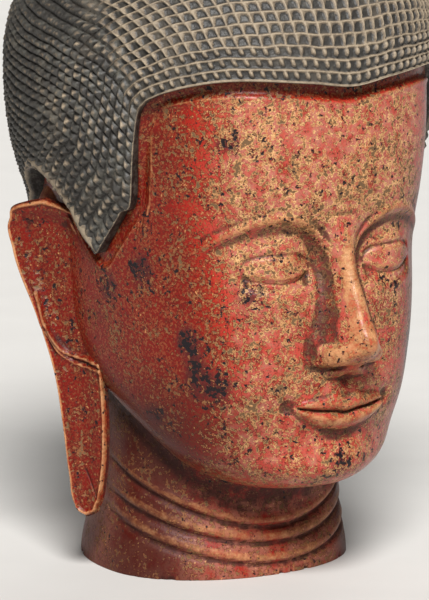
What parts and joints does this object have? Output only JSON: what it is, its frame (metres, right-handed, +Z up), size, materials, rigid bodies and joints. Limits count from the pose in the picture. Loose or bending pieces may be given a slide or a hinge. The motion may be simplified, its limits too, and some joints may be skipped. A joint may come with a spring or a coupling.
{
  "type": "carved wooden head",
  "caption": "Carved and lacquered wooden head with a calm face, knobbed hair and crown knot, long ears and ringed neck, standing on its flat-cut base.",
  "frame": {"origin": "centre of the neck's flat underside", "axes": "+Z up through the crown, the face looks towards -Y, +X towards the head's own left ear"},
  "size_m": [0.2672, 0.3069, 0.5],
  "materials": {
    "red_lacquer": "worn red and gold lacquer over carved wood, satin"
  },
  "bodies": {
    "root": {"buddha_head": "red_lacquer"}
  },
  "joints": []
}
